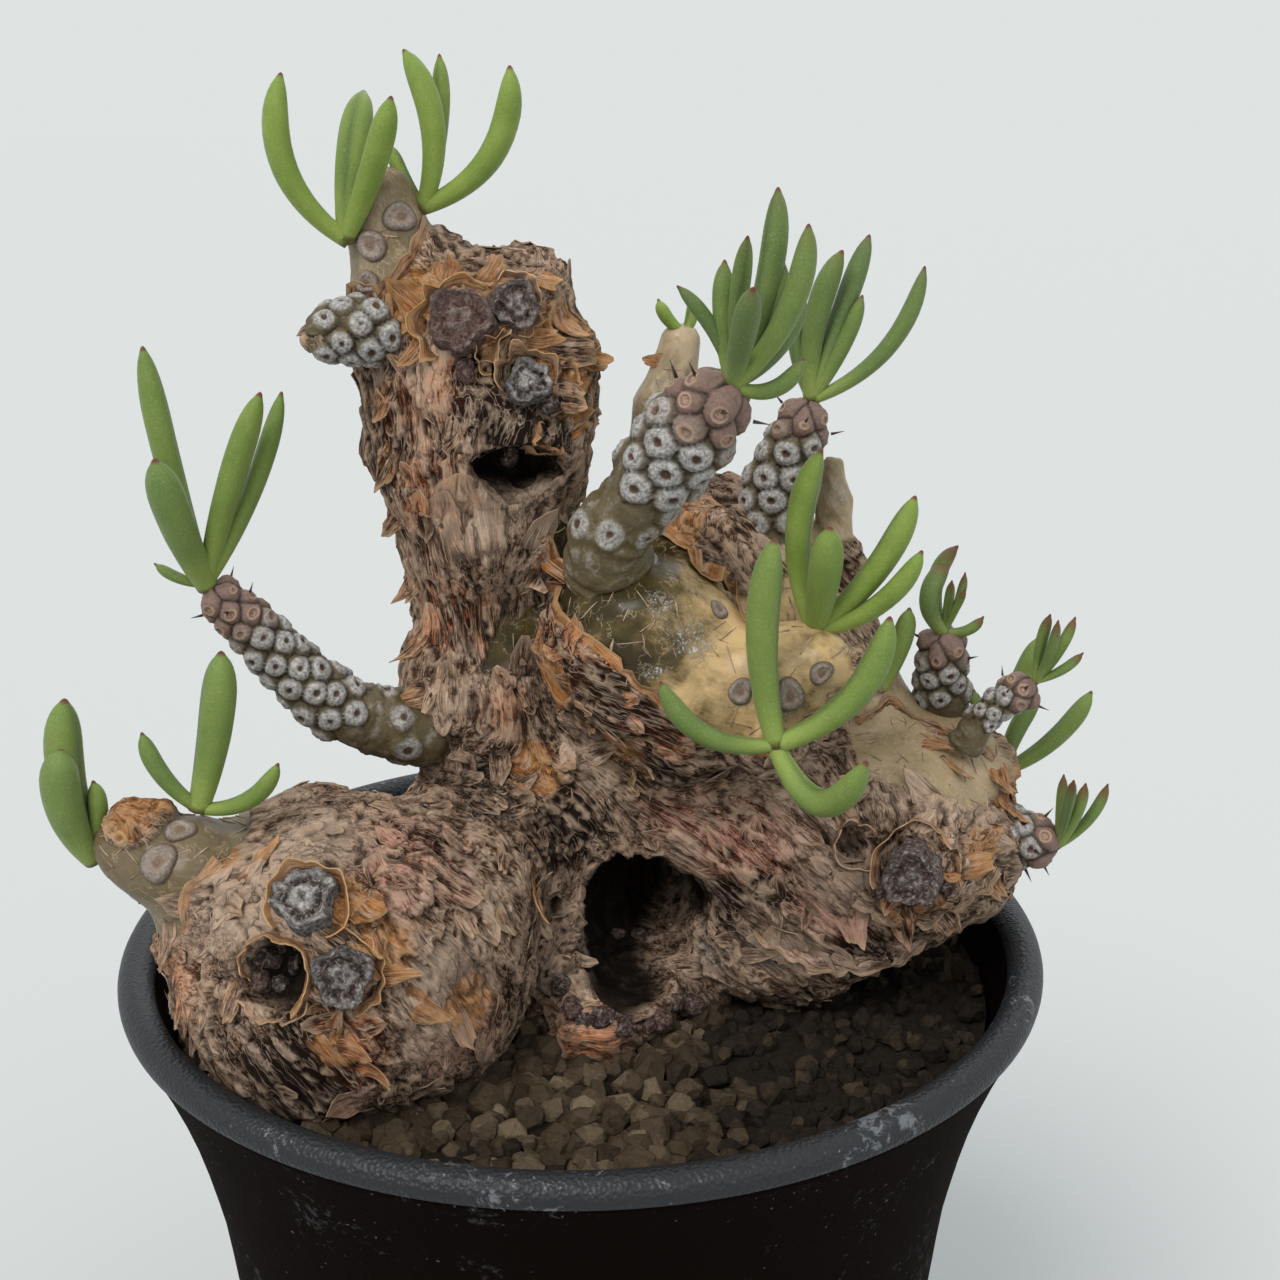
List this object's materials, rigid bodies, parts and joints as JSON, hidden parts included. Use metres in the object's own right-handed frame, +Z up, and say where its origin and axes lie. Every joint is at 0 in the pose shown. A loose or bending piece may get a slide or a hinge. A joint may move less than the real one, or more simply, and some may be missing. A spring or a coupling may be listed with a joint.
{
  "type": "potted tylecodon pearsonii succulent",
  "caption": "Potted caudiciform succulent: a swollen gnarled stem base with knobbly young stems and finger-like leaves, in gravel in a round plastic nursery pot.",
  "frame": {"origin": "centre of the flat pad under the pot's foot, on the surface that the pot stands on", "axes": "+Z up along the pot's axis, -Y towards the viewer of the picture, +X to that viewer's right"},
  "size_m": [0.1287, 0.12, 0.2097],
  "materials": {
    "pot": "matte black, finely pebbled",
    "gravel": "rough, dry, angular grains",
    "bark": "papery peeling bark over smooth olive skin",
    "young_stem": "waxy grey-brown skin with white-ringed leaf scars",
    "leaf": "fleshy, satin, red-brown tips"
  },
  "bodies": {
    "root": {"pot": "pot", "gravel": "gravel", "caudex": "bark", "stem_upperMain": "young_stem", "stem_upperRight": "young_stem", "stem_leftMid": "young_stem", "stem_rightUpper": "young_stem", "stem_rightThin": "young_stem", "stem_rightEnd": "young_stem", "leaves_topLeft": "leaf", "leaves_topRight": "leaf", "leaves_leftMid": "leaf", "leaves_leftEnd": "leaf", "leaves_leftStub": "leaf", "leaves_upperMain": "leaf", "leaves_upperBack": "leaf", "leaves_upperRight": "leaf", "leaves_middle": "leaf", "leaves_front": "leaf", "leaves_behind": "leaf", "leaves_rightUpper": "leaf", "leaves_rightLow": "leaf", "leaves_rightThin": "leaf", "leaves_rightBehind": "leaf", "leaves_rightSide": "leaf", "leaves_rightEnd": "leaf"}
  },
  "joints": []
}
